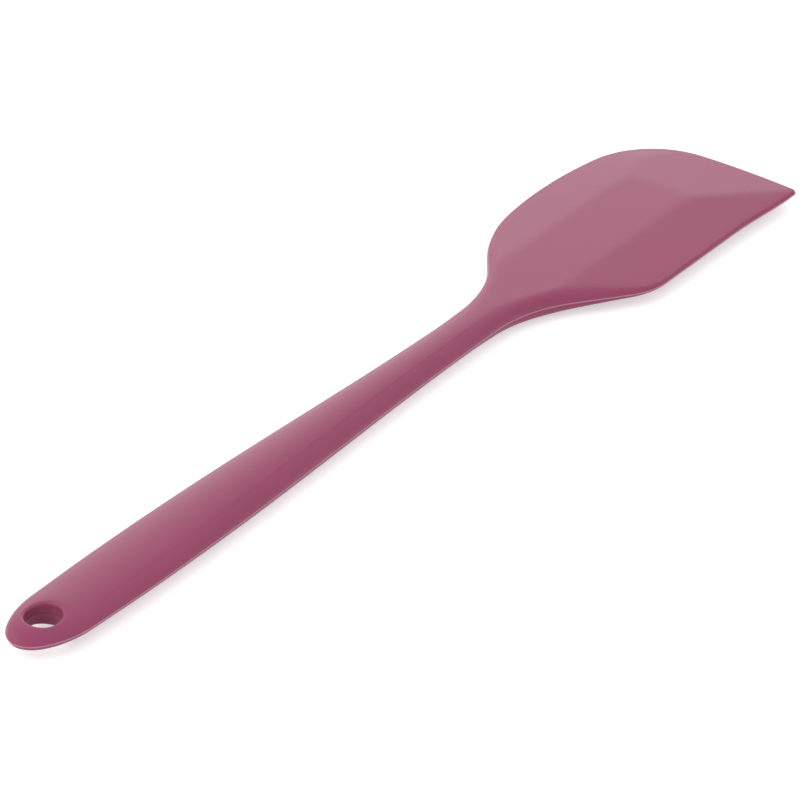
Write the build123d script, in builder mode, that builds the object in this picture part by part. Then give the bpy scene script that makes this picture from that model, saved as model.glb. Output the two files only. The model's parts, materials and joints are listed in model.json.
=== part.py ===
"""Silicone spatula: a stiff nylon core, moulded over with one skin of silicone.

The origin is the centre of the hanging hole, on the plane where the mould halves meet.
+X runs along the handle to the blade, +Y is the side of the blade's rounded corner, +Z is up.
All sizes are in millimetres. A distance along the spatula is measured from the handle's end.
"""
from build123d import *
import math
import os

# Whole spatula
overall_length = 280.0
hole_from_end = 9.8
hole_diameter = 8.4
hole_rim_radius = 0.9

# Handle
handle_end_width = 18.1
handle_width = 19.6
handle_widest_from_end = 40.0
handle_end_thickness = 6.4
handle_thickness = 8.0
handle_thickest_from_end = 80.0
end_rounding_length = 16.0
neck_width = 12.0
neck_from_tip = 106.0

# Blade
blade_right_reach = 26.3
blade_left_reach = 26.9
blade_thickness = 6.2
rim_thickness = 1.5
rim_radius = 0.6
right_neck_radius = 35.0
left_neck_radius = 38.0
right_shoulder_radius = 17.0
left_shoulder_radius = 50.0
belly_radius = 115.0
belly_from_tip = 40.0
corner_radius = 23.0
end_radius = 250.0
scraper_flare = 1.3
scraper_flare_length = 27.0
scraper_corner_radius = 1.8

# Raised middle of the blade
paddle_right_reach = 9.3
paddle_left_reach = 10.5
end_bevel_length = 25.0

# Skin over the core
side_skin = 1.8
face_skin = 1.2
end_skin = 2.0
hole_lining = 1.2

# Core: pockets in the handle, then a paddle with holes in the blade
web_thickness = 1.6
rail_width = 2.0
pocket_length = 21.0
pocket_rib = 5.0
pocket_corner_radius = 1.5
pocket_count = 5
pockets_from_end = 25.0
key_hole_diameter = 2.6
paddle_end_inset = 9.0
paddle_side_inset = 2.6
paddle_widening_length = 25.0
paddle_rounding_length = 7.0
paddle_hole_diameter = 5.0
paddle_hole_pitch = 13.0
paddle_hole_count = 4
paddle_holes_from_neck = 26.0

# Angles in degrees, counts and shares
section_steps = 14
bevel_point_shares = (0, 0.4, 0.85, 1)
flat_point_shares = (0.1, 0.5, 0.9)
right_flare_angle = 38.0
left_flare_angle = 36.0
end_roundness = 2.4
core_roundness = 2.5
flat_width_share = 0.62
least_bevel_share = 0.12
end_station_shares = (0.008, 0.06, 0.16, 0.31, 0.5, 0.75, 1)
handle_station_shares = (0, 0.08, 0.16, 0.28, 0.44, 0.62, 0.82, 1)
flare_station_shares = (0, 0.16, 0.32, 0.48, 0.64, 0.82, 1)
blade_station_shares = (0, 0.3, 0.62, 1)
corner_station_shares = (0, 0.22, 0.45, 0.67, 0.86, 1)
scraper_corner_station_shares = (0, 0.35, 0.7, 0.9, 1)
tip_station_shares = (0, 0.2, 0.45, 0.7, 0.88, 0.98)
paddle_station_shares = (0, 0.15, 0.3, 0.5, 0.75, 1)
paddle_tip_station_shares = (0, 0.3, 0.55, 0.75, 0.9, 0.98)

# Worked out from the sizes above
neck_from_end = overall_length - neck_from_tip
right_flare = math.radians(right_flare_angle)
left_flare = math.radians(left_flare_angle)
hole_radius = hole_diameter / 2
neck_half_width = neck_width / 2
blade_half_thickness = blade_thickness / 2
rim_half_thickness = rim_thickness / 2


def ease(share):
    """Smooth rise from 0 to 1 as the share goes from 0 to 1."""
    return (1 - math.cos(math.pi * min(1, max(0, share)))) / 2


def between(low, high, share):
    """Value at a share of the way from low to high."""
    return low + (high - low) * share


def along(from_end):
    """X of a distance from the handle's end."""
    return from_end - hole_from_end


def rounding(distance, length, power):
    """How much of its full size a piece has at a distance into its rounded end."""
    left = max(0, 1 - distance / length)
    return (1 - left**power) ** (1 / power)


def handle_half_width(from_end):
    """Half the handle's width."""
    if from_end < handle_widest_from_end:
        width = between(handle_end_width, handle_width, ease(from_end / handle_widest_from_end))
    else:
        taper_length = neck_from_end - handle_widest_from_end
        width = between(handle_width, neck_width, ease((from_end - handle_widest_from_end) / taper_length))
    return width / 2 * rounding(from_end, end_rounding_length, 2)


def half_thickness(from_end):
    """Half the thickness of the handle and of the blade's raised middle."""
    if from_end < handle_thickest_from_end:
        rise_length = handle_thickest_from_end - hole_from_end
        share = ease((from_end - hole_from_end) / rise_length)
        thickness = between(handle_end_thickness, handle_thickness, share)
    else:
        taper_length = neck_from_end - handle_thickest_from_end
        share = ease((from_end - handle_thickest_from_end) / taper_length)
        thickness = between(handle_thickness, blade_thickness, share)
    return thickness / 2 * rounding(from_end, end_rounding_length, end_roundness)


# Right side: the neck's arc, a straight flare, then a tight shoulder into the straight scraping edge.
right_neck_centre_y = neck_half_width + right_neck_radius
right_flare_start = neck_from_end + right_neck_radius * math.sin(right_flare)
right_flare_start_y = right_neck_centre_y - right_neck_radius * math.cos(right_flare)
right_shoulder_centre_y = blade_right_reach - right_shoulder_radius
right_shoulder_start_y = right_shoulder_centre_y + right_shoulder_radius * math.cos(right_flare)
right_flare_rise = right_shoulder_start_y - right_flare_start_y
right_shoulder_start = right_flare_start + right_flare_rise / math.tan(right_flare)
blade_start = right_shoulder_start + right_shoulder_radius * math.sin(right_flare)

# Left side: the neck's arc, a straight flare, a wide shoulder, one long arc, and the rounded corner.
left_neck_centre_y = neck_half_width + left_neck_radius
left_flare_start = neck_from_end + left_neck_radius * math.sin(left_flare)
left_flare_start_y = left_neck_centre_y - left_neck_radius * math.cos(left_flare)
belly_centre = overall_length - belly_from_tip
belly_centre_y = blade_left_reach - belly_radius
belly_distance = belly_radius - left_shoulder_radius
offset_x = left_flare_start + left_shoulder_radius * math.sin(left_flare) - belly_centre
offset_y = left_flare_start_y - left_shoulder_radius * math.cos(left_flare) - belly_centre_y
offset_along = offset_x * math.cos(left_flare) + offset_y * math.sin(left_flare)
offset_across = offset_y * math.cos(left_flare) - offset_x * math.sin(left_flare)
left_flare_length = math.sqrt(belly_distance**2 - offset_across**2) - offset_along
left_shoulder_start = left_flare_start + left_flare_length * math.cos(left_flare)
left_shoulder_centre = belly_centre + offset_x + left_flare_length * math.cos(left_flare)
left_shoulder_centre_y = belly_centre_y + offset_y + left_flare_length * math.sin(left_flare)
belly_start = belly_centre + (left_shoulder_centre - belly_centre) * belly_radius / belly_distance
corner_centre = overall_length - corner_radius
corner_distance = belly_radius - corner_radius
corner_centre_y = belly_centre_y + math.sqrt(corner_distance**2 - (corner_centre - belly_centre) ** 2)
belly_end = belly_centre + (corner_centre - belly_centre) * belly_radius / corner_distance

# Sharp corner, where the scraping edge meets the slightly bowed end.
scraper_reach = blade_right_reach + scraper_flare - scraper_corner_radius
end_centre = overall_length - end_radius
corner_rise = corner_centre_y + scraper_reach
scraper_corner_distance = end_radius - scraper_corner_radius
scraper_corner = end_centre + math.sqrt(scraper_corner_distance**2 - corner_rise**2)
scraper_corner_end = end_centre + (scraper_corner - end_centre) * end_radius / scraper_corner_distance
paddle_end = overall_length - end_bevel_length


def right_wall(from_end):
    """Distance from the middle to the right side."""
    if from_end < neck_from_end:
        return handle_half_width(from_end)
    if from_end < right_flare_start:
        return right_neck_centre_y - math.sqrt(right_neck_radius**2 - (from_end - neck_from_end) ** 2)
    if from_end < right_shoulder_start:
        return right_flare_start_y + (from_end - right_flare_start) * math.tan(right_flare)
    if from_end < blade_start:
        return right_shoulder_centre_y + math.sqrt(right_shoulder_radius**2 - (blade_start - from_end) ** 2)
    if from_end < scraper_corner:
        return blade_right_reach + scraper_flare * ease(1 - (scraper_corner - from_end) / scraper_flare_length)
    if from_end < scraper_corner_end:
        return scraper_reach + math.sqrt(scraper_corner_radius**2 - (from_end - scraper_corner) ** 2)
    return math.sqrt(end_radius**2 - (from_end - end_centre) ** 2) - corner_centre_y


def left_wall(from_end):
    """Distance from the middle to the left side."""
    if from_end < neck_from_end:
        return handle_half_width(from_end)
    if from_end < left_flare_start:
        return left_neck_centre_y - math.sqrt(left_neck_radius**2 - (from_end - neck_from_end) ** 2)
    if from_end < left_shoulder_start:
        return left_flare_start_y + (from_end - left_flare_start) * math.tan(left_flare)
    if from_end < belly_start:
        run = from_end - left_shoulder_centre
        return left_shoulder_centre_y + math.sqrt(left_shoulder_radius**2 - run**2)
    if from_end < belly_end:
        return belly_centre_y + math.sqrt(belly_radius**2 - (from_end - belly_centre) ** 2)
    return corner_centre_y + math.sqrt(corner_radius**2 - (from_end - corner_centre) ** 2)


def bevel_share(from_end):
    """How much of the raised middle's height is left: 1 up to its end, 0 at the blade's tip."""
    return min(1, (overall_length - from_end) / end_bevel_length)


def flat_reach(wall, paddle_reach, from_end):
    """Distance from the middle to where a side's bevel starts."""
    if from_end < paddle_end:
        return min(paddle_reach, flat_width_share * wall(from_end))
    return wall(from_end) - (wall(paddle_end) - paddle_reach) * max(least_bevel_share, bevel_share(from_end))


def round_points(right, left, height, power):
    """Points on half a rounded section, from the right side over the top to the left."""
    centre = (left - right) / 2
    half_width = (left + right) / 2
    points = [(-right, 0)]
    for step in range(1, section_steps):
        turn = math.pi * step / section_steps
        reach = math.copysign(abs(math.cos(turn)) ** (2 / power), math.cos(turn))
        points += [(centre - half_width * reach, height * math.sin(turn) ** (2 / power))]
    return points + [(left, 0)]


def bevelled_points(right, left, flat_right, flat_left, height, wall_height):
    """As many points on half the blade's section: rim, bevel, flat, bevel and rim."""
    rim_in = rim_radius * (1 - math.cos(math.pi / 4))
    rim_up = wall_height * math.sin(math.pi / 4)
    points = [(-right, 0), (rim_in - right, rim_up)]
    for share in bevel_point_shares:
        points += [(between(rim_radius - right, -flat_right, share), between(wall_height, height, share))]
    for share in flat_point_shares:
        points += [(between(-flat_right, flat_left, share), height)]
    for share in reversed(bevel_point_shares):
        points += [(between(left - rim_radius, flat_left, share), between(wall_height, height, share))]
    return points + [(left - rim_in, rim_up), (left, 0)]


def closed_face(from_end, top):
    """Face across the spatula whose upper half passes through the points, mirrored below."""
    bottom = [(across, -up) for across, up in top[-2:0:-1]]
    with BuildSketch(Plane.YZ.offset(along(from_end))) as profile:
        with BuildLine():
            Spline(*top, *bottom, periodic=True)
        make_face()
    return profile.sketch.face()


def section(from_end):
    """Cross-section of the spatula, which eases from an ellipse to the blade's bevelled form."""
    right = right_wall(from_end)
    left = left_wall(from_end)
    flat_right = flat_reach(right_wall, paddle_right_reach, from_end)
    flat_left = flat_reach(left_wall, paddle_left_reach, from_end)
    height = between(rim_half_thickness, half_thickness(from_end), bevel_share(from_end))
    squareness = ease((from_end - neck_from_end) / (blade_start - neck_from_end))
    wall_height = between(height, rim_half_thickness, squareness)
    ellipse = round_points(right, left, height, 2)
    blade = bevelled_points(right, left, flat_right, flat_left, height, wall_height)
    top = []
    for start, stop in zip(ellipse, blade):
        top += [(between(start[0], stop[0], squareness), between(start[1], stop[1], squareness))]
    return closed_face(from_end, top)


def core_reach(from_end, paddle_reach):
    """Distance from the middle to one side of the core, which widens into its paddle."""
    widening = ease((from_end - neck_from_end) / paddle_widening_length)
    widest = paddle_reach - paddle_side_inset
    reach = between(handle_half_width(min(from_end, neck_from_end)) - side_skin, widest, widening)
    return reach * rounding(core_end - from_end, paddle_rounding_length, 2)


def core_section(from_end):
    """Cross-section of the core."""
    right = core_reach(from_end, paddle_right_reach)
    left = core_reach(from_end, paddle_left_reach)
    height = half_thickness(min(from_end, neck_from_end)) - face_skin
    height *= rounding(core_end - from_end, paddle_rounding_length, end_roundness)
    return closed_face(from_end, round_points(right, left, height, core_roundness))


def stations(first, last, shares):
    """Distances from the handle's end at the given shares of a stretch."""
    return [between(first, last, share) for share in shares]


# Stiff core: an eye round the hanging hole, a pocketed bar in the handle and a paddle in the blade.
core_end = paddle_end - paddle_end_inset
paddle_tip_start = core_end - paddle_rounding_length
paddle_middle_y = (paddle_left_reach - paddle_right_reach) / 2
pocket_pitch = pocket_length + pocket_rib
with BuildPart() as stiffening_core:
    loft([core_section(place) for place in stations(end_skin, end_rounding_length, paddle_station_shares)])
    loft([core_section(place) for place in stations(end_rounding_length, neck_from_end, handle_station_shares)])
    loft([core_section(place) for place in stations(neck_from_end, paddle_tip_start, paddle_station_shares)])
    loft([core_section(place) for place in stations(paddle_tip_start, core_end, paddle_tip_station_shares)])
    with BuildSketch():
        Circle(hole_radius + hole_lining)
    extrude(amount=handle_thickness, both=True, mode=Mode.SUBTRACT)
    for pocket in range(pocket_count):
        pocket_start = pockets_from_end + pocket * pocket_pitch
        pocket_end = pocket_start + pocket_length
        pocket_width = 2 * (core_reach(pocket_end, paddle_right_reach) - rail_width)
        for web_side in (Plane.XY.offset(web_thickness / 2), -Plane.XY.offset(-web_thickness / 2)):
            with BuildSketch(web_side):
                with Locations((along((pocket_start + pocket_end) / 2), 0)):
                    RectangleRounded(pocket_length, pocket_width, pocket_corner_radius)
            extrude(amount=handle_thickness, mode=Mode.SUBTRACT)
        with BuildSketch():
            with Locations((along((pocket_start + pocket_end) / 2), 0)):
                Circle(key_hole_diameter / 2)
        extrude(amount=handle_thickness, both=True, mode=Mode.SUBTRACT)
    with BuildSketch():
        for hole in range(paddle_hole_count):
            hole_place = neck_from_end + paddle_holes_from_neck + hole * paddle_hole_pitch
            with Locations((along(hole_place), paddle_middle_y)):
                Circle(paddle_hole_diameter / 2)
    extrude(amount=handle_thickness, both=True, mode=Mode.SUBTRACT)

# Silicone skin: one moulding from the handle's end to the blade's tip, with the core sealed inside.
with BuildPart() as silicone_body:
    loft([section(place) for place in stations(0, end_rounding_length, end_station_shares)])
    loft([section(place) for place in stations(end_rounding_length, neck_from_end, handle_station_shares)])
    loft([section(place) for place in stations(neck_from_end, blade_start, flare_station_shares)])
    loft([section(place) for place in stations(blade_start, paddle_end, blade_station_shares)])
    loft([section(place) for place in stations(paddle_end, scraper_corner, corner_station_shares)])
    loft([section(place) for place in stations(scraper_corner, scraper_corner_end, scraper_corner_station_shares)])
    loft([section(place) for place in stations(scraper_corner_end, overall_length, tip_station_shares)])
    with BuildSketch():
        Circle(hole_radius)
    extrude(amount=handle_thickness, both=True, mode=Mode.SUBTRACT)
    hole_wall = silicone_body.faces().filter_by(GeomType.CYLINDER)
    fillet(hole_wall.edges().filter_by(GeomType.LINE, reverse=True), hole_rim_radius)
    add(stiffening_core.part, mode=Mode.SUBTRACT)

silicone_body.part.label = "silicone_body"
stiffening_core.part.label = "stiffening_core"
os.makedirs("parts", exist_ok=True)
export_step(silicone_body.part, "parts/silicone_body.step")
export_step(stiffening_core.part, "parts/stiffening_core.step")
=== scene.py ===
"""Looks of a silicone spatula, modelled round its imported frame.

The frame's origin is the centre of the hanging hole, +X runs along the handle to the blade, +Y is
the side of the blade's rounded corner and +Z is up. Every length is in metres. A distance along
the spatula is measured from the handle's end, as on a drawing of it.
"""

import json
import logging
import math
from dataclasses import dataclass, field
from enum import Enum
from typing import Iterable, Optional, Union

import bmesh
import bpy
from mathutils import Euler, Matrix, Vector
from mathutils.kdtree import KDTree

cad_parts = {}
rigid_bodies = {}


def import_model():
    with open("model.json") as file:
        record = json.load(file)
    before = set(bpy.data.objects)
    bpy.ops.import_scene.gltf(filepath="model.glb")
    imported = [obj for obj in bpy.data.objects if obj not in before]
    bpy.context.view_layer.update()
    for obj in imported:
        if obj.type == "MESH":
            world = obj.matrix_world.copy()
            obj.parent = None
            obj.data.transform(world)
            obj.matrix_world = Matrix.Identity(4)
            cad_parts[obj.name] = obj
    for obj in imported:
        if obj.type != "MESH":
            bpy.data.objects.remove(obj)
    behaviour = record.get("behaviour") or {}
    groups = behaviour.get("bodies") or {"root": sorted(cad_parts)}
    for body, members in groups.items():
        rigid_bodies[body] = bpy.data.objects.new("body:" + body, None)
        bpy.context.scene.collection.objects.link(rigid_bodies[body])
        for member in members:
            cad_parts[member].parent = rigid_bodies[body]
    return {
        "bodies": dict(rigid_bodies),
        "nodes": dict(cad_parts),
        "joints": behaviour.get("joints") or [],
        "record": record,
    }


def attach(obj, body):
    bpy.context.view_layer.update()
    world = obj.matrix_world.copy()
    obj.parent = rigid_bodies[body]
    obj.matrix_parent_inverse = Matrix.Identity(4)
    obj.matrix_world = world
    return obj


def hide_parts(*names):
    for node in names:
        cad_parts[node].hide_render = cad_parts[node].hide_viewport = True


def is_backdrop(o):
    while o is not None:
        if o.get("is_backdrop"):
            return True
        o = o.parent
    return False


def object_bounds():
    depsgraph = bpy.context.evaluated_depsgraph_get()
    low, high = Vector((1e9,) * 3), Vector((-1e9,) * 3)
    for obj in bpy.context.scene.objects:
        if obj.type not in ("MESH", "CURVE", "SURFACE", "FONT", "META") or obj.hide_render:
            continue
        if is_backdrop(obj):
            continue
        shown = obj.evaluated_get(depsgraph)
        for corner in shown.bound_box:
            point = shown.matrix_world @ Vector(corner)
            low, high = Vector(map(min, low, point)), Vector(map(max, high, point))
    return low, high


log = logging.getLogger("spatula")

PARTING_HIGHLIGHT_ATTRIBUTE = "parting"
ELLIPTIC = 2.0
NOISE_MIDDLE = 0.5
Plan = tuple[float, float]
Colour = tuple[float, float, float, float]
Triple = tuple[float, float, float]


class Side(Enum):
    """The two long sides of the spatula."""

    RIGHT = -1
    LEFT = 1


class Surface(Enum):
    """The shaders that a finish is made with."""

    PRINCIPLED = "ShaderNodeBsdfPrincipled"
    EMISSION = "ShaderNodeEmission"
    DIFFUSE = "ShaderNodeBsdfDiffuse"
    BACKGROUND = "ShaderNodeBackground"


def ease(share: float) -> float:
    """Half a cosine wave: a smooth rise from 0 to 1 as the share goes from 0 to 1."""
    return (1 - math.cos(math.pi * min(1.0, max(0.0, share)))) / 2


def s_curve(share: float) -> float:
    """Cubic rise from 0 to 1, level at both ends."""
    return share * share * (3 - 2 * share)


def between(low: float, high: float, share: float) -> float:
    """Value at a share of the way from low to high."""
    return low + (high - low) * share


def soft_min(first: float, second: float, softness: float) -> float:
    """The smaller of two heights, with a rounded crease where they meet.

    Args:
        first: One height.
        second: The other height.
        softness: Difference in height over which the crease is rounded.

    Returns:
        The rounded minimum.
    """
    overlap = max(0.0, 1 - abs(first - second) / softness)
    return min(first, second) - softness * overlap * overlap / 4


def rounding(distance: float, length: float, power: float) -> float:
    """Share of its full size that a form has at a distance into its rounded edge.

    Args:
        distance: How far in from the edge.
        length: Distance over which the edge is rounded.
        power: Power of the curve: 2 makes a quarter of an ellipse, more makes it squarer.

    Returns:
        The share, from 0 at the edge to 1 past the rounding.
    """
    left = min(1.0, max(0.0, 1 - distance / length))
    return (1 - left**power) ** (1 / power)


def moved_in(loop: list[Plan], distances: list[float]) -> list[Plan]:
    """A closed loop with each point moved inwards, square to the loop.

    Args:
        loop: The points, with the inside on the left of the way round.
        distances: How far each point moves.

    Returns:
        The moved points, in the same order.
    """
    moved = []
    before_each = [loop[-1], *loop[:-1]]
    after_each = [*loop[1:], loop[0]]
    for before, here, after, distance in zip(before_each, loop, after_each, distances):
        back = Vector((here[0] - before[0], here[1] - before[1]))
        ahead = Vector((after[0] - here[0], after[1] - here[1]))
        along = (back / back.length_squared + ahead / ahead.length_squared).normalized()
        moved.append((here[0] - along.y * distance, here[1] + along.x * distance))
    return moved


class Socket:
    """A shader value that takes part in ordinary sums."""

    def __init__(self, bench: "NodeBench", link: bpy.types.NodeSocket) -> None:
        """Keeps the bench that adds nodes and the socket that holds the value."""
        self.bench = bench
        self.link = link

    def _math(self, operation: str, first: "Value", second: "Value") -> "Socket":
        """Adds one Math node."""
        return self.bench.add("ShaderNodeMath", {"operation": operation}, {0: first, 1: second})

    def __add__(self, other: "Value") -> "Socket":
        """Sum."""
        return self._math("ADD", self, other)

    def __radd__(self, other: "Value") -> "Socket":
        """Sum with the number first."""
        return self._math("ADD", other, self)

    def __sub__(self, other: "Value") -> "Socket":
        """Difference."""
        return self._math("SUBTRACT", self, other)

    def __rsub__(self, other: "Value") -> "Socket":
        """Difference with the number first."""
        return self._math("SUBTRACT", other, self)

    def __mul__(self, other: "Value") -> "Socket":
        """Product."""
        return self._math("MULTIPLY", self, other)

    def __rmul__(self, other: "Value") -> "Socket":
        """Product with the number first."""
        return self._math("MULTIPLY", other, self)


Value = Union[Socket, float, tuple, int]


class NodeBench:
    """Adds nodes to the tree of one material or world."""

    MIX_SHARE = 0
    MIX_FIRST_COLOUR = 6
    MIX_SECOND_COLOUR = 7
    MIX_COLOUR_RESULT = 2

    def __init__(self, owner: Union[bpy.types.Material, bpy.types.World]) -> None:
        """Empties the owner's tree.

        Args:
            owner: The material or the world whose nodes are made.
        """
        self.owner = owner
        owner.use_nodes = True
        self.tree = owner.node_tree
        self.tree.nodes.clear()

    def add(
        self, kind: str, settings: dict, values: dict, output: Union[int, str] = 0
    ) -> Optional[Socket]:
        """Adds one node.

        Args:
            kind: The node's type.
            settings: Its settings, which are set before its sockets.
            values: A value or a link for each input, by number or name.
            output: The output that is wanted.

        Returns:
            The wanted output, or nothing where the node ends a tree.
        """
        node = self.tree.nodes.new(kind)
        for name, value in settings.items():
            setattr(node, name, value)
        for name, value in values.items():
            if isinstance(value, Socket):
                self.tree.links.new(value.link, node.inputs[name])
            else:
                node.inputs[name].default_value = value
        return Socket(self, node.outputs[output]) if node.outputs else None

    def ramp(self, value: Value, low: float, high: float) -> Socket:
        """Share of the way from low to high, held at 0 and 1."""
        values = {"Value": value, "From Min": low, "From Max": high}
        return self.add("ShaderNodeMapRange", {"clamp": True}, values)

    def blend(self, share: Value, first: Value, second: Value) -> Socket:
        """Blend of two colours."""
        values = {self.MIX_SHARE: share, self.MIX_FIRST_COLOUR: first, self.MIX_SECOND_COLOUR: second}
        return self.add("ShaderNodeMix", {"data_type": "RGBA"}, values, self.MIX_COLOUR_RESULT)

    def noise(self, place: Value, scale: float, detail: float) -> Socket:
        """Noise from 0 to 1 over a place."""
        values = {"Vector": place, "Scale": scale, "Detail": detail}
        return self.add("ShaderNodeTexNoise", {}, values)


@dataclass(frozen=True)
class SatinSilicone:
    """Matt-moulded silicone: a fine even grain, a faint bloom and a painted highlight along the parting
    line.
    """

    pigment: Colour = (0.262, 0.036, 0.098, 1.0)
    bloom: Colour = (0.272, 0.040, 0.104, 1.0)
    # Paler colour of the parting line: a painted highlight where the ridge would catch the light.
    seam_highlight: Colour = (0.430, 0.180, 0.265, 1.0)
    seam_highlight_limits: tuple[float, float] = (0.1, 0.4)
    roughness: float = 0.42
    roughness_spread: float = 0.06
    grain_scale: float = 2600.0
    grain_detail: float = 3.0
    cloud_scale: float = 38.0
    cloud_detail: float = 4.0
    cloud_limits: tuple[float, float] = (0.3, 0.7)
    grain_strength: float = 0.06
    grain_depth: float = 0.00002
    refraction: float = 1.43
    sheen: float = 0.02

    def material(self) -> bpy.types.Material:
        """Builds the material.

        Returns:
            The material with its nodes.
        """
        bench = NodeBench(bpy.data.materials.new("satin_silicone"))
        place = bench.add("ShaderNodeTexCoord", {}, {}, "Object")
        grain = bench.noise(place, self.grain_scale, self.grain_detail)
        cloud = bench.noise(place, self.cloud_scale, self.cloud_detail)
        colour = bench.blend(bench.ramp(cloud, *self.cloud_limits), self.pigment, self.bloom)
        line = bench.add("ShaderNodeAttribute", {"attribute_name": PARTING_HIGHLIGHT_ATTRIBUTE}, {}, "Fac")
        # Painted highlight: the parting line's colour is made paler where the fine ridge would catch
        # the light.
        colour = bench.blend(bench.ramp(line, *self.seam_highlight_limits), colour, self.seam_highlight)
        cloud_spread = self.roughness_spread * (cloud - NOISE_MIDDLE)
        grain_spread = self.roughness_spread * (grain - NOISE_MIDDLE)
        bump_values = {"Strength": self.grain_strength, "Distance": self.grain_depth, "Height": grain}
        values = {
            "Base Color": colour,
            "Roughness": self.roughness + cloud_spread + grain_spread,
            "IOR": self.refraction,
            "Normal": bench.add("ShaderNodeBump", {}, bump_values),
            "Sheen Weight": self.sheen,
        }
        shader = bench.add(Surface.PRINCIPLED.value, {}, values)
        bench.add("ShaderNodeOutputMaterial", {}, {"Surface": shader})
        return bench.owner


@dataclass(frozen=True)
class FilledNylon:
    """Natural glass-filled nylon: off-white, with short fibres that show as fine streaks."""

    resin: Colour = (0.62, 0.60, 0.54, 1.0)
    fibre: Colour = (0.74, 0.73, 0.69, 1.0)
    fibre_limits: tuple[float, float] = (0.45, 0.62)
    roughness: float = 0.55
    roughness_spread: float = 0.1
    fibre_scale: float = 900.0
    fibre_detail: float = 5.0
    streak: Triple = (0.2, 1.0, 1.0)
    grain_strength: float = 0.15
    grain_depth: float = 0.00003

    def material(self) -> bpy.types.Material:
        """Builds the material.

        Returns:
            The material with its nodes.
        """
        bench = NodeBench(bpy.data.materials.new("filled_nylon"))
        place = bench.add("ShaderNodeTexCoord", {}, {}, "Object")
        drawn = bench.add("ShaderNodeMapping", {}, {"Vector": place, "Scale": self.streak})
        fibres = bench.noise(drawn, self.fibre_scale, self.fibre_detail)
        bump_values = {"Strength": self.grain_strength, "Distance": self.grain_depth, "Height": fibres}
        values = {
            "Base Color": bench.blend(bench.ramp(fibres, *self.fibre_limits), self.resin, self.fibre),
            "Roughness": self.roughness + self.roughness_spread * (fibres - NOISE_MIDDLE),
            "Normal": bench.add("ShaderNodeBump", {}, bump_values),
        }
        shader = bench.add(Surface.PRINCIPLED.value, {}, values)
        bench.add("ShaderNodeOutputMaterial", {}, {"Surface": shader})
        return bench.owner


def dress(piece: bpy.types.Object, material: bpy.types.Material) -> None:
    """Gives a piece one material and nothing else."""
    piece.data.materials.clear()
    piece.data.materials.append(material)


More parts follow.
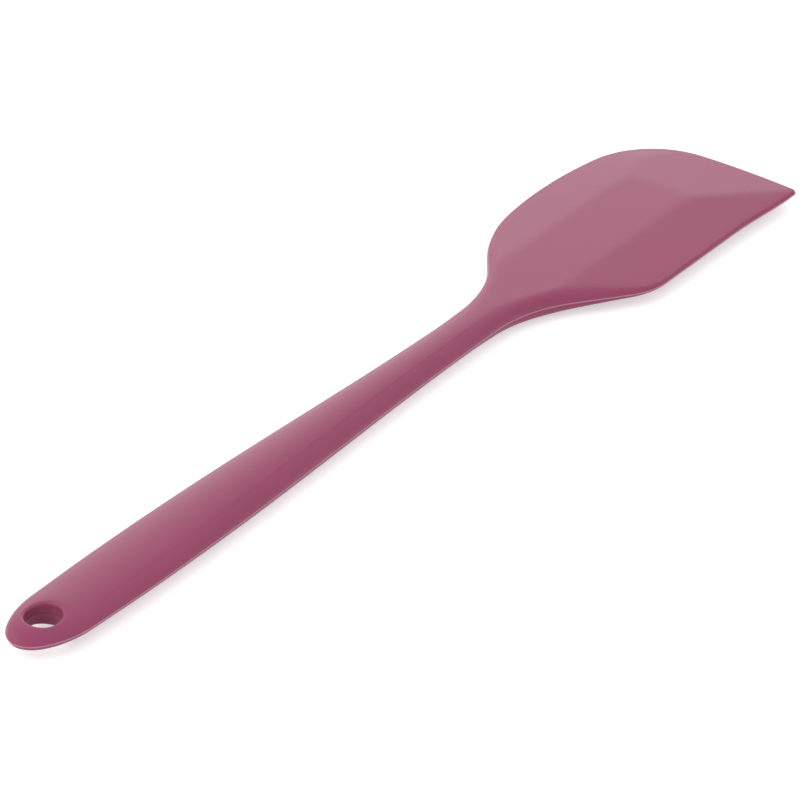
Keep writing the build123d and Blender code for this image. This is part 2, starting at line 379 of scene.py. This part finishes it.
@dataclass
class Outline:
    """The spatula seen from above: the line where its two mould halves meet."""

    overall_length: float = 0.280
    hole_from_end: float = 0.0098
    handle_end_width: float = 0.0181
    handle_width: float = 0.0196
    handle_widest_from_end: float = 0.040
    end_rounding_length: float = 0.016
    neck_width: float = 0.0120
    neck_from_tip: float = 0.106
    blade_right_reach: float = 0.0263
    blade_left_reach: float = 0.0269
    right_neck_radius: float = 0.035
    left_neck_radius: float = 0.038
    right_flare_angle: float = math.radians(38)
    left_flare_angle: float = math.radians(36)
    right_shoulder_radius: float = 0.017
    left_shoulder_radius: float = 0.050
    belly_radius: float = 0.115
    belly_from_tip: float = 0.040
    corner_radius: float = 0.023
    end_radius: float = 0.250
    scraper_flare: float = 0.0013
    scraper_flare_length: float = 0.027
    scraper_corner_radius: float = 0.0018
    corner_middle_turn: float = math.pi / 4
    lean_step: float = 0.0001

    def __post_init__(self) -> None:
        """Works out where the arcs meet."""
        self.neck_from_end = self.overall_length - self.neck_from_tip
        flare = self.right_flare_angle
        self.right_neck_y = self.neck_width / 2 + self.right_neck_radius
        self.right_flare_start = self.neck_from_end + self.right_neck_radius * math.sin(flare)
        self.right_flare_y = self.right_neck_y - self.right_neck_radius * math.cos(flare)
        self.right_shoulder_y = self.blade_right_reach - self.right_shoulder_radius
        rise = self.right_shoulder_y + self.right_shoulder_radius * math.cos(flare) - self.right_flare_y
        self.right_shoulder_start = self.right_flare_start + rise / math.tan(flare)
        self.blade_start = self.right_shoulder_start + self.right_shoulder_radius * math.sin(flare)
        self.belly_centre = self.overall_length - self.belly_from_tip
        self.belly_centre_y = self.blade_left_reach - self.belly_radius
        self.place_left_shoulder()
        self.corner_centre = self.overall_length - self.corner_radius
        reach = self.belly_radius - self.corner_radius
        run = self.corner_centre - self.belly_centre
        self.corner_centre_y = self.belly_centre_y + math.sqrt(reach**2 - run**2)
        self.belly_end = self.belly_centre + run * self.belly_radius / reach
        self.belly_end_turn = math.acos(run / reach)
        self.scraper_reach = self.blade_right_reach + self.scraper_flare - self.scraper_corner_radius
        self.end_centre = self.overall_length - self.end_radius
        reach = self.end_radius - self.scraper_corner_radius
        rise = self.corner_centre_y + self.scraper_reach
        self.scraper_corner = self.end_centre + math.sqrt(reach**2 - rise**2)
        self.scraper_corner_turn = math.asin(rise / reach)

    def place_left_shoulder(self) -> None:
        """Fits the wide arc between the left flare and the blade's bulging side."""
        flare = Vector((math.cos(self.left_flare_angle), math.sin(self.left_flare_angle)))
        inward = Vector((flare.y, -flare.x))
        neck = Vector((self.neck_from_end, self.neck_width / 2 + self.left_neck_radius))
        belly = Vector((self.belly_centre, self.belly_centre_y))
        start = neck + inward * self.left_neck_radius
        gap = self.belly_radius - self.left_shoulder_radius
        offset = start + inward * self.left_shoulder_radius - belly
        length = math.sqrt(gap**2 - offset.cross(flare) ** 2) - offset.dot(flare)
        self.left_neck_y = neck.y
        self.left_flare_start = start.x
        self.left_flare_y = start.y
        self.left_shoulder_start = start.x + length * flare.x
        self.left_shoulder = belly + offset + flare * length
        self.belly_start = belly.x + (self.left_shoulder.x - belly.x) * self.belly_radius / gap

    def handle_reach(self, at: float) -> float:
        """Half the handle's width at a distance from its end.

        Args:
            at: Distance from the handle's end.

        Returns:
            The reach, which is the same on both sides.
        """
        if at < self.handle_widest_from_end:
            share = ease(at / self.handle_widest_from_end)
            width = between(self.handle_end_width, self.handle_width, share)
        else:
            taper = self.neck_from_end - self.handle_widest_from_end
            share = ease((at - self.handle_widest_from_end) / taper)
            width = between(self.handle_width, self.neck_width, share)
        return width / 2 * rounding(at, self.end_rounding_length, ELLIPTIC)

    def reach(self, at: float, side: Side) -> float:
        """Distance from the middle to one side.

        Args:
            at: Distance from the handle's end, up to the corner on that side.
            side: The side that is meant.

        Returns:
            The reach, which is never negative.
        """
        if at < self.neck_from_end:
            return self.handle_reach(at)
        return self.left_reach(at) if side is Side.LEFT else self.right_reach(at)

    def right_reach(self, at: float) -> float:
        """Distance from the middle to the right side of the flare and the blade.

        Args:
            at: Distance from the handle's end.

        Returns:
            The reach along the neck's arc, the flare, the shoulder or the scraping side.
        """
        if at < self.right_flare_start:
            run = at - self.neck_from_end
            return self.right_neck_y - math.sqrt(self.right_neck_radius**2 - run**2)
        if at < self.right_shoulder_start:
            return self.right_flare_y + (at - self.right_flare_start) * math.tan(self.right_flare_angle)
        if at < self.blade_start:
            run = self.blade_start - at
            return self.right_shoulder_y + math.sqrt(self.right_shoulder_radius**2 - run**2)
        share = 1 - (self.scraper_corner - at) / self.scraper_flare_length
        return self.blade_right_reach + self.scraper_flare * ease(share)

    def left_reach(self, at: float) -> float:
        """Distance from the middle to the left side of the flare and the blade.

        Args:
            at: Distance from the handle's end.

        Returns:
            The reach along the neck's arc, the flare, the shoulder or the belly.
        """
        if at < self.left_flare_start:
            run = at - self.neck_from_end
            return self.left_neck_y - math.sqrt(self.left_neck_radius**2 - run**2)
        if at < self.left_shoulder_start:
            return self.left_flare_y + (at - self.left_flare_start) * math.tan(self.left_flare_angle)
        if at < self.belly_start:
            run = at - self.left_shoulder.x
            return self.left_shoulder.y + math.sqrt(self.left_shoulder_radius**2 - run**2)
        run = at - self.belly_centre
        return self.belly_centre_y + math.sqrt(self.belly_radius**2 - run**2)

    def lean(self, at: float, side: Side) -> float:
        """Cosine of the angle between one side and the handle's line."""
        rise = self.reach(at + self.lean_step, side) - self.reach(at - self.lean_step, side)
        return 2 * self.lean_step / math.hypot(2 * self.lean_step, rise)

    def belly_inset(self, at: float, y: float) -> float:
        """Distance in from the blade's bulging side, carried straight on before its widest place."""
        return self.belly_radius - math.hypot(max(0.0, at - self.belly_centre), y - self.belly_centre_y)

    def end_inset(self, at: float, y: float) -> float:
        """Distance in from the arc of the blade's end."""
        return self.end_radius - math.hypot(at - self.end_centre, y - self.corner_centre_y)

    def corner_inset(self, at: float, y: float) -> float:
        """Distance in from the rounded corner, or from the side and the end beside it.

        Args:
            at: Distance from the handle's end.
            y: Distance from the middle, positive on the left.

        Returns:
            The distance, which is 0 on the outline.
        """
        turn = math.atan2(y - self.corner_centre_y, at - self.corner_centre)
        if turn > self.belly_end_turn:
            return self.belly_inset(at, y)
        if turn > 0:
            return self.corner_radius - math.hypot(at - self.corner_centre, y - self.corner_centre_y)
        return self.end_inset(at, y)

    def corner_point(self, turn: float) -> Plan:
        """Point on the rounded corner, at an angle from the handle's line."""
        across = self.corner_centre_y + self.corner_radius * math.sin(turn)
        return (self.corner_centre + self.corner_radius * math.cos(turn), across)

    def scraper_corner_points(self, steps: int) -> list[Plan]:
        """Points round the sharp corner, from the scraping side to the end.

        Args:
            steps: How many even steps the arc is divided into.

        Returns:
            All points of the arc, the first and the last too.
        """
        points = []
        for step in range(steps + 1):
            turn = between(-math.pi / 2, -self.scraper_corner_turn, step / steps)
            across = -self.scraper_reach + self.scraper_corner_radius * math.sin(turn)
            points.append((self.scraper_corner + self.scraper_corner_radius * math.cos(turn), across))
        return points

    def end_points(self, steps: int) -> list[Plan]:
        """Points along the end, from the sharp corner to the middle of the rounded one.

        Args:
            steps: How many even steps the way is divided into.

        Returns:
            The points between the steps, without the first and the last.
        """
        end_run = self.end_radius * self.scraper_corner_turn
        corner_run = self.corner_radius * self.corner_middle_turn
        points = []
        for step in range(1, steps):
            run = (end_run + corner_run) * step / steps
            if run < end_run:
                turn = run / self.end_radius - self.scraper_corner_turn
                across = self.corner_centre_y + self.end_radius * math.sin(turn)
                points.append((self.end_centre + self.end_radius * math.cos(turn), across))
            else:
                points.append(self.corner_point((run - end_run) / self.corner_radius))
        return points


@dataclass
class Relief:
    """Height of the upper face over the plane where the mould halves meet."""

    plan: Outline
    handle_end_thickness: float = 0.0064
    handle_thickness: float = 0.0080
    handle_thickest_from_end: float = 0.080
    end_roundness: float = 2.4
    blade_thickness: float = 0.0062
    rim_thickness: float = 0.0015
    rim_rounding: float = 0.00075
    plateau_right_reach: float = 0.0093
    plateau_left_reach: float = 0.0105
    end_bevel_length: float = 0.025
    corner_slope: float = 0.155
    flare_wall_rounding: float = 0.0042
    flare_wall_power: float = 2.9
    wall_narrows_from_end: float = 0.195
    wall_narrows_length: float = 0.021
    neck_blend_from_end: float = 0.160
    neck_blend_length: float = 0.030
    crease_softness: float = 0.00020

    def __post_init__(self) -> None:
        """Works out the rim's height and the slopes of the bevels."""
        self.rim = self.rim_thickness / 2
        drop = (self.blade_thickness - self.rim_thickness) / 2
        self.right_slope = drop / (self.plan.blade_right_reach - self.plateau_right_reach)
        self.left_slope = drop / (self.plan.blade_left_reach - self.plateau_left_reach)
        self.end_slope = drop / self.end_bevel_length

    def crown(self, at: float) -> float:
        """Half the thickness along the middle.

        Args:
            at: Distance from the handle's end.

        Returns:
            The height, which stays the same from the neck to the blade's end.
        """
        plan = self.plan
        if at < self.handle_thickest_from_end:
            swell = self.handle_thickest_from_end - plan.hole_from_end
            share = ease((at - plan.hole_from_end) / swell)
            thickness = between(self.handle_end_thickness, self.handle_thickness, share)
        else:
            taper = plan.neck_from_end - self.handle_thickest_from_end
            share = ease((at - self.handle_thickest_from_end) / taper)
            thickness = between(self.handle_thickness, self.blade_thickness, share)
        return thickness / 2 * rounding(at, plan.end_rounding_length, self.end_roundness)

    def rounded(self, at: float, y: float) -> float:
        """Height of the handle's elliptical section.

        Args:
            at: Distance from the handle's end.
            y: Distance from the middle, positive on the left.

        Returns:
            The height, which is 0 outside the outline.
        """
        side = Side.RIGHT if y < 0 else Side.LEFT
        reach = self.plan.reach(at, side)
        if reach <= abs(y):
            return 0.0
        return self.crown(at) * math.sqrt(1 - (y / reach) ** 2)

    def bevelled(self, at: float, y: float) -> float:
        """Height of the raised middle and its bevels, before the edge is rounded.

        Args:
            at: Distance from the handle's end.
            y: Distance from the middle, positive on the left.

        Returns:
            The height over the parting plane.
        """
        plan = self.plan
        right_edge = plan.blade_right_reach
        if plan.blade_start < at < plan.scraper_corner:
            right_edge = plan.reach(at, Side.RIGHT)
        elif at >= plan.scraper_corner:
            right_edge += plan.scraper_flare
        rises = [
            (right_edge + y) * self.right_slope,
            plan.belly_inset(at, y) * self.left_slope,
            plan.end_inset(at, y) * self.end_slope,
        ]
        if at > plan.belly_centre and y > 0:
            rises.append(plan.corner_inset(at, y) * self.corner_slope)
        height = self.crown(at)
        for rise in rises:
            height = soft_min(height, self.rim + rise, self.crease_softness)
        return height

    def height(self, at: float, y: float, inset: Optional[float] = None) -> float:
        """Height of the upper face.

        Args:
            at: Distance from the handle's end.
            y: Distance from the middle, positive on the left.
            inset: Distance in from the outline, read only along the blade. A place past the blade's
                rounded edge needs none.

        Returns:
            The height over the parting plane.
        """
        plan = self.plan
        shared = ease((at - self.neck_blend_from_end) / self.neck_blend_length)
        if shared <= 0:
            return self.rounded(at, y)
        narrowed = ease((at - self.wall_narrows_from_end) / self.wall_narrows_length)
        edge = between(self.flare_wall_rounding, self.rim_rounding, narrowed)
        power = between(self.flare_wall_power, ELLIPTIC, narrowed)
        if at < plan.blade_start:
            side = Side.RIGHT if y < 0 else Side.LEFT
            inset = (plan.reach(at, side) - abs(y)) * plan.lean(at, side)
        elif inset is None:
            inset = edge
        height = self.bevelled(at, y) * rounding(inset, edge, power)
        return between(self.rounded(at, y), height, shared) if shared < 1 else height


@dataclass
class PartingLine:
    """The fine ridge that the mould leaves where its halves meet, with a highlight painted along it for
    the light it catches.
    """

    stand_out: float = 0.00012
    half_width: float = 0.00022
    # Strength of the painted highlight on the ridge, and of the weaker one inside the shaded hole.
    highlight_paleness: float = 1.0
    highlight_paleness_in_hole: float = 0.2


@dataclass
class HangingHole:
    """The hole at the handle's end, with rounded rims."""

    radius: float = 0.0042
    rim_radius: float = 0.0009
    rim_degrees: tuple[float, ...] = (15, 30, 45, 60, 75, 90)
    wall_shares: tuple[float, ...] = (0.66, 0.33)

    def rim_rows(self) -> list[tuple[float, float]]:
        """Rings of the hole's rounded rim, from the face to the wall.

        Returns:
            The radius of each ring, and how far it lies under the face.
        """
        rows = []
        for degrees in self.rim_degrees:
            turn = math.radians(degrees)
            radius = self.radius + self.rim_radius * (1 - math.sin(turn))
            rows.append((radius, self.rim_radius * (1 - math.cos(turn))))
        return rows

    def wall_rows(self, foot: float, ridge: PartingLine) -> list[tuple[float, float]]:
        """Rings of the hole's wall down to the parting line.

        Args:
            foot: Height of the wall under the rim.
            ridge: The parting line, which also runs round the hole.

        Returns:
            The radius and height of each ring.
        """
        rows = [(self.radius, between(ridge.half_width, foot, share)) for share in self.wall_shares]
        return rows + [(self.radius, ridge.half_width), (self.radius - ridge.stand_out, 0.0)]


class Clay:
    """A mesh that is shaped in edit mode, ring by ring."""

    def __init__(self, body: bpy.types.Object) -> None:
        """Goes into edit mode.

        Args:
            body: The object, which is alone selected and active.
        """
        self.body = body
        bpy.ops.object.mode_set(mode="EDIT")
        bpy.ops.mesh.select_mode(type="VERT")
        self.refresh()

    def merge(self, distance: float) -> None:
        """Merges the vertices that lie on each other and numbers all of them again.

        Args:
            distance: How close two vertices lie to be merged.
        """
        bpy.ops.mesh.select_all(action="SELECT")
        bpy.ops.mesh.remove_doubles(threshold=distance)
        bpy.ops.object.mode_set(mode="OBJECT")
        bpy.ops.object.mode_set(mode="EDIT")
        self.refresh()

    def refresh(self) -> None:
        """Reads the mesh again after an operator has changed it."""
        self.mesh = bmesh.from_edit_mesh(self.body.data)
        self.mesh.verts.ensure_lookup_table()
        self.mesh.verts.index_update()

    def put(self, indices: Iterable[int], places: Iterable[Vector]) -> None:
        """Moves vertices to their places."""
        for index, place in zip(indices, places):
            self.mesh.verts[index].co = place

    def nearest(self, places: list[Vector]) -> list[int]:
        """Finds vertices by their places.

        Args:
            places: The places to look at.

        Returns:
            The nearest vertex to each place.
        """
        tree = KDTree(len(self.mesh.verts))
        for vertex in self.mesh.verts:
            tree.insert(vertex.co, vertex.index)
        tree.balance()
        return [tree.find(place)[1] for place in places]

    def extrude(self, ring: list[int], places: list[Vector]) -> list[int]:
        """Extrudes a closed ring of edges and puts each new vertex in its place.

        Args:
            ring: The ring's vertices, in order.
            places: Where the new vertices go, in the same order.

        Returns:
            The new vertices, in order.
        """
        bpy.ops.mesh.select_all(action="DESELECT")
        for index, after in zip(ring, [*ring[1:], ring[0]]):
            self.mesh.edges.get((self.mesh.verts[index], self.mesh.verts[after])).select_set(True)
        known = len(self.mesh.verts)
        bpy.ops.mesh.extrude_edges_move()
        self.refresh()
        made = []
        for index in ring:
            vertex = self.mesh.verts[index]
            others = (edge.other_vert(vertex).index for edge in vertex.link_edges)
            made.append(next(other for other in others if other >= known))
        self.put(made, places)
        return made

    def done(self) -> None:
        """Leaves edit mode."""
        bpy.ops.object.mode_set(mode="OBJECT")


@dataclass
class SiliconeBody:
    """The one-piece silicone moulding."""

    plan: Outline = field(default_factory=Outline)
    ridge: PartingLine = field(default_factory=PartingLine)
    hole: HangingHole = field(default_factory=HangingHole)
    eye_end_from_end: float = 0.022
    even_end_from_end: float = 0.250
    station_pitch: float = 0.0015
    columns: int = 56
    last_steps: int = 20
    corner_steps: int = 4
    eye_turn_steps: int = 24
    eye_side_steps: int = 4
    eye_rows: int = 3
    wide_band: float = 0.0035
    narrow_band: float = 0.0013
    eye_band: float = 0.0025
    eye_band_length: float = 0.040
    band_narrows_from_end: float = 0.200
    band_narrows_length: float = 0.016
    band_shares: tuple[float, ...] = (
        0, 0.002, 0.008, 0.022, 0.05, 0.09, 0.15, 0.23, 0.34, 0.48, 0.65, 0.82,
    )
    weld_distance: float = 0.0000012
    finish: SatinSilicone = SatinSilicone()

    def __post_init__(self) -> None:
        """Makes the relief and goes once round the outline, with the inside on the left."""
        self.relief = Relief(self.plan)
        # The right side and the end have half of the sharp corner's arc each.
        corner = self.plan.scraper_corner_points(2 * self.corner_steps)
        end = self.plan.end_points(self.columns - self.corner_steps + 1)
        self.right = self.side_points(Side.RIGHT) + corner[1:self.corner_steps + 1]
        self.left = self.side_points(Side.LEFT)
        self.end = corner[self.corner_steps + 1:] + end
        self.loop = self.right + self.end + self.left[::-1] + self.eye_points()

    def side_points(self, side: Side) -> list[Plan]:
        """Points along one side from the eye to the blade's end.

        Args:
            side: The side that is meant.

        Returns:
            The points, as far as the sharp corner's arc on the right and the middle of the rounded
            corner on the left.
        """
        plan = self.plan
        steps = round((self.even_end_from_end - self.eye_end_from_end) / self.station_pitch)
        places = []
        for step in range(steps + 1):
            places.append(between(self.eye_end_from_end, self.even_end_from_end, step / steps))
        corner_steps = self.corner_steps if side is Side.RIGHT else self.last_steps // 2
        last = plan.scraper_corner if side is Side.RIGHT else plan.belly_end
        straight_steps = self.last_steps - corner_steps
        for step in range(1, straight_steps + 1):
            places.append(between(self.even_end_from_end, last, step / straight_steps))
        points = [(at, side.value * plan.reach(at, side)) for at in places]
        if side is Side.LEFT:
            for step in range(1, corner_steps + 1):
                turn = between(plan.belly_end_turn, plan.corner_middle_turn, step / corner_steps)
                points.append(plan.corner_point(turn))
        return points

    def eye_points(self) -> list[Plan]:
        """Points round the handle's end.

        Returns:
            The points from the left side to the right, between the first ones of the two sides.
        """
        plan = self.plan
        gap = self.eye_end_from_end - plan.end_rounding_length
        places = []
        for step in range(1, self.eye_side_steps):
            places.append(plan.end_rounding_length + gap * step / self.eye_side_steps)
        points = [(at, plan.reach(at, Side.LEFT)) for at in reversed(places)]
        for step in range(2 * self.eye_turn_steps + 1):
            turn = math.pi / 2 * (1 - step / self.eye_turn_steps)
            at = plan.end_rounding_length * (1 - math.cos(turn))
            points.append((at, math.copysign(plan.handle_reach(at), turn)))
        return points + [(at, -plan.reach(at, Side.RIGHT)) for at in places]

    def band(self, at: float) -> float:
        """Width of the rounded band along the outline.

        Args:
            at: Distance from the handle's end.

        Returns:
            The width, from the outline in.
        """
        if at < self.eye_band_length:
            return between(self.eye_band, self.wide_band, ease(at / self.eye_band_length))
        share = ease((at - self.band_narrows_from_end) / self.band_narrows_length)
        return between(self.wide_band, self.narrow_band, share)

    def place(self, point: Plan, height: float) -> Vector:
        """Place in the frame of a plan point at a height."""
        return Vector((point[0] - self.plan.hole_from_end, point[1], height))

    def ring(self, share: float) -> list[Vector]:
        """Places of one ring of the band.

        The ridge reaches the outline, and the faces beside it lie its stand-out further in. Their
        height is that of the surface without the ridge.

        Args:
            share: Share of the band's width, from 0 at the outline.

        Returns:
            The places, in the loop's order.
        """
        insets = [(self.band(point[0]) - self.ridge.stand_out) * share for point in self.loop]
        under = moved_in(self.loop, insets)
        shown = moved_in(self.loop, [inset + self.ridge.stand_out for inset in insets])
        places = []
        for point, source, inset in zip(shown, under, insets):
            height = self.relief.height(*source, inset)
            places.append(self.place(point, max(height, self.ridge.half_width)))
        return places

    def build(self) -> bpy.types.Object:
        """Models the upper half from its face outwards, then mirrors and dresses it.

        Returns:
            The finished mesh object.
        """
        inner = self.ring(1)
        rows = len(self.right)
        left_start = rows + len(self.end)
        eye_start = left_start + rows
        across = len(self.end) + 2

        bpy.ops.object.select_all(action="DESELECT")
        width = self.plan.blade_left_reach + self.plan.blade_right_reach
        bpy.ops.mesh.primitive_grid_add(x_subdivisions=across - 1, y_subdivisions=rows - 1, size=width)
        body = bpy.context.object
        body.name = "silicone_moulding"
        clay = Clay(body)
        border = (inner[:rows], inner[rows - 1:left_start + 1], inner[left_start:eye_start][::-1])
        clay.put(range(rows * across), self.face_places(*border))
        self.build_eye(clay, inner[eye_start:], across)
        clay.merge(self.weld_distance)
        ring = clay.nearest(inner)
        for share in reversed(self.band_shares):
            ring = clay.extrude(ring, self.ring(share))
        clay.extrude(ring, [self.place(point, 0.0) for point in self.loop])
        clay.done()
        self.mirror(body)
        dress(body, self.finish.material())
        return body

    def face_places(self, right: list[Vector], end: list[Vector], left: list[Vector]) -> list[Vector]:
        """Places of the upper face's grid, whose rows bend towards the end's curve.

        Args:
            right: The grid's right border, from the eye to the end.
            end: Its border at the end, from right to left, corners included.
            left: Its left border, from the eye to the end.

        Returns:
            The places, row by row, each row from right to left.
        """
        hole = self.plan.hole_from_end
        blade = [index for index, place in enumerate(right) if place.x + hole > self.plan.blade_start]
        places = []
        for index, (start, stop) in enumerate(zip(right, left)):
            bend = s_curve(max(0, index - blade[0] + 1) / len(blade))
            for column, target in enumerate(end):
                part = column / (len(end) - 1)
                point = start.lerp(stop, part) + (target - end[0].lerp(end[-1], part)) * bend
                if 0 < column < len(end) - 1 and index < len(right) - 1:
                    point.z = self.relief.height(point.x + hole, point.y)
                places.append(point)
        return places

    def build_eye(self, clay: Clay, loop: list[Vector], across: int) -> None:
        """Models the face round the hanging hole and sinks the hole to the parting line.

        Args:
            clay: The mesh in edit mode, which holds the face's grid.
            loop: Places of the band's inner ring round the eye.
            across: How many vertices the grid's first row has.
        """
        hole = self.hole
        row = [clay.mesh.verts[index].co.copy() for index in range(across)]
        border = row + loop
        turns = [math.atan2(place.y, place.x) for place in border]
        first = len(clay.mesh.verts)
        bpy.ops.mesh.select_all(action="DESELECT")
        bpy.ops.mesh.primitive_circle_add(vertices=len(border), radius=hole.radius)
        clay.refresh()
        ring = list(range(first, first + len(border)))
        clay.put(ring, border)
        outside = hole.radius + hole.rim_radius
        for step in range(1, self.eye_rows + 1):
            places = []
            for place, turn in zip(border, turns):
                reach = between(math.hypot(place.x, place.y), outside, step / self.eye_rows)
                places.append(self.eye_place(reach, turn, 0))
            ring = clay.extrude(ring, places)
        for radius, drop in hole.rim_rows():
            places = [self.eye_place(radius, turn, drop) for turn in turns]
            ring = clay.extrude(ring, places)
        walls = [hole.wall_rows(place.z, self.ridge) for place in places]
        for level in zip(*walls):
            places = [
                Vector((radius * math.cos(turn), radius * math.sin(turn), height))
                for (radius, height), turn in zip(level, turns)
            ]
            ring = clay.extrude(ring, places)

    def eye_place(self, reach: float, turn: float, drop: float) -> Vector:
        """Place near the hanging hole.

        Args:
            reach: Distance from the hole's centre.
            turn: Angle from the handle's line.
            drop: How far the place lies under the face.

        Returns:
            The place in the frame.
        """
        point = (reach * math.cos(turn) + self.plan.hole_from_end, reach * math.sin(turn))
        return self.place(point, self.relief.height(*point) - drop)

    def mirror(self, body: bpy.types.Object) -> None:
        """Adds the lower half and marks the parting line, along which a highlight is painted.

        Args:
            body: The upper half, which is alone selected and active.
        """
        mirror = body.modifiers.new("lower_half", "MIRROR")
        mirror.use_axis = (False, False, True)
        mirror.use_mirror_merge = True
        mirror.merge_threshold = self.weld_distance
        bpy.ops.object.modifier_apply(modifier=mirror.name)
        bpy.ops.object.mode_set(mode="EDIT")
        bpy.ops.mesh.select_all(action="SELECT")
        bpy.ops.mesh.normals_make_consistent(inside=False)
        bpy.ops.object.mode_set(mode="OBJECT")
        bpy.ops.object.shade_smooth()
        seam_highlight = body.data.attributes.new(PARTING_HIGHLIGHT_ATTRIBUTE, "FLOAT", "POINT")
        for vertex, mark in zip(body.data.vertices, seam_highlight.data):
            # The parting line's vertices get the painted highlight's strength, which is weaker inside
            # the hole because it lies in shade.
            if abs(vertex.co.z) < self.ridge.half_width / 2:
                in_hole = vertex.co.length < self.hole.radius + self.hole.rim_radius
                mark.value = self.ridge.highlight_paleness_in_hole if in_hole else self.ridge.highlight_paleness


@dataclass
class StiffeningCore:
    """The stiff core inside the silicone, which is the CAD's own solid."""

    node: str = "stiffening_core"
    finish: FilledNylon = FilledNylon()

    def build(self, frame: dict) -> bpy.types.Object:
        """Dresses the core.


        Returns:
            The core's object.
        """
        core = frame["nodes"][self.node]
        dress(core, self.finish.material())
        return core


def facing(direction: Vector) -> Euler:
    """Rotation of a lamp or a camera that looks along a direction, with its top up."""
    return direction.to_track_quat("-Z", "Y").to_euler()


@dataclass(frozen=True)
class Softbox:
    """One square lamp that faces a point on the spatula."""

    name: str
    place: Triple
    aim: Triple
    size: float
    power: float

    def build(self) -> None:
        """Adds the lamp."""
        turn = facing(Vector(self.aim) - Vector(self.place))
        bpy.ops.object.light_add(type="AREA", location=self.place, rotation=turn)
        lamp = bpy.context.object
        lamp.name = self.name
        lamp.data.shape = "SQUARE"
        lamp.data.size = self.size
        lamp.data.energy = self.power


@dataclass
class Studio:
    """White table, soft lamps and the camera at the photograph's angle."""

    lens_millimetres: float = 189.0
    sensor_millimetres: float = 36.0
    eye: Triple = (-0.5678, -0.5135, 0.5149)
    heading: Triple = (0.6909, 0.5073, -0.5150)
    nearest_seen: float = 0.01
    floor_size: float = 6.0
    floor_gap: float = 0.0002
    table_paint: Colour = (0.80, 0.80, 0.80, 1.0)
    table_glow: float = 0.50
    white: Colour = (1.0, 1.0, 1.0, 1.0)
    world_strength: float = 1.0
    softboxes: tuple[Softbox, ...] = (
        Softbox("back_softbox", place=(1.27, 0.90, 0.50), aim=(0.13, 0, 0), size=1.0, power=2.9),
        Softbox("left_softbox", place=(-0.35, 1.10, 0.90), aim=(0.10, 0, 0), size=0.8, power=2.6),
        Softbox("end_softbox", place=(-0.85, 0.40, 0.60), aim=(0, 0, 0), size=0.35, power=2.2),
    )

    def build(self, floor_height: float) -> None:
        """Adds the camera, the lamps, the world and the floor.

        Args:
            floor_height: Height of the object's lowest point.
        """
        bpy.ops.object.select_all(action="DESELECT")
        bpy.ops.object.camera_add(location=self.eye, rotation=facing(Vector(self.heading)))
        camera = bpy.context.object
        camera.data.lens = self.lens_millimetres
        camera.data.sensor_width = self.sensor_millimetres
        camera.data.clip_start = self.nearest_seen
        bpy.context.scene.camera = camera
        for softbox in self.softboxes:
            softbox.build()
        self.surround()
        self.floor(floor_height - self.floor_gap)
        bpy.context.scene.view_settings.view_transform = "Standard"

    def surround(self) -> None:
        """Sets the even white surroundings."""
        world = bpy.data.worlds.new("white_tent")
        bpy.context.scene.world = world
        bench = NodeBench(world)
        values = {"Color": self.white, "Strength": self.world_strength}
        sky = bench.add(Surface.BACKGROUND.value, {}, values)
        bench.add("ShaderNodeOutputWorld", {}, {"Surface": sky})

    def floor(self, height: float) -> None:
        """Adds the pale floor, white to the camera but for the object's shadow.

        Args:
            height: Height of the floor in the frame.
        """
        bpy.ops.mesh.primitive_plane_add(size=self.floor_size, location=(0, 0, height))
        floor = bpy.context.object
        floor.name = "table_top"
        bench = NodeBench(bpy.data.materials.new("white_table"))
        seen = bench.add("ShaderNodeLightPath", {}, {}, "Is Camera Ray")
        mirrored = bench.add("ShaderNodeLightPath", {}, {}, "Is Glossy Ray")
        # The glow shows to the camera and in reflections, and lights nothing else.
        paint = bench.add(Surface.DIFFUSE.value, {}, {"Color": self.table_paint})
        values = {"Color": self.white, "Strength": self.table_glow}
        glow = bench.add(Surface.EMISSION.value, {}, values)
        both = bench.add("ShaderNodeAddShader", {}, {0: paint, 1: glow})
        mixed = bench.add("ShaderNodeMixShader", {}, {0: seen + mirrored, 1: paint, 2: both})
        bench.add("ShaderNodeOutputMaterial", {}, {"Surface": mixed})
        floor.data.materials.append(bench.owner)
        floor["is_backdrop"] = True


def corners(bounds: Iterable) -> list[list[float]]:
    """A box's two corners as plain lists."""
    return [[float(value) for value in corner] for corner in bounds]


def main() -> None:
    """Builds the spatula's looks round its frame."""
    logging.basicConfig(level=logging.INFO, format="%(message)s")
    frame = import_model()
    cad_box = corners(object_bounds())
    lowest = cad_box[0][2]
    Studio().build(lowest)

    body = SiliconeBody().build()
    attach(body, "root")
    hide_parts("silicone_body")
    log.info("silicone moulding: %d vertices", len(body.data.vertices))

    core = StiffeningCore().build(frame)
    log.info("stiffening core: %d vertices", len(core.data.vertices))


if __name__ == "__main__":
    main()
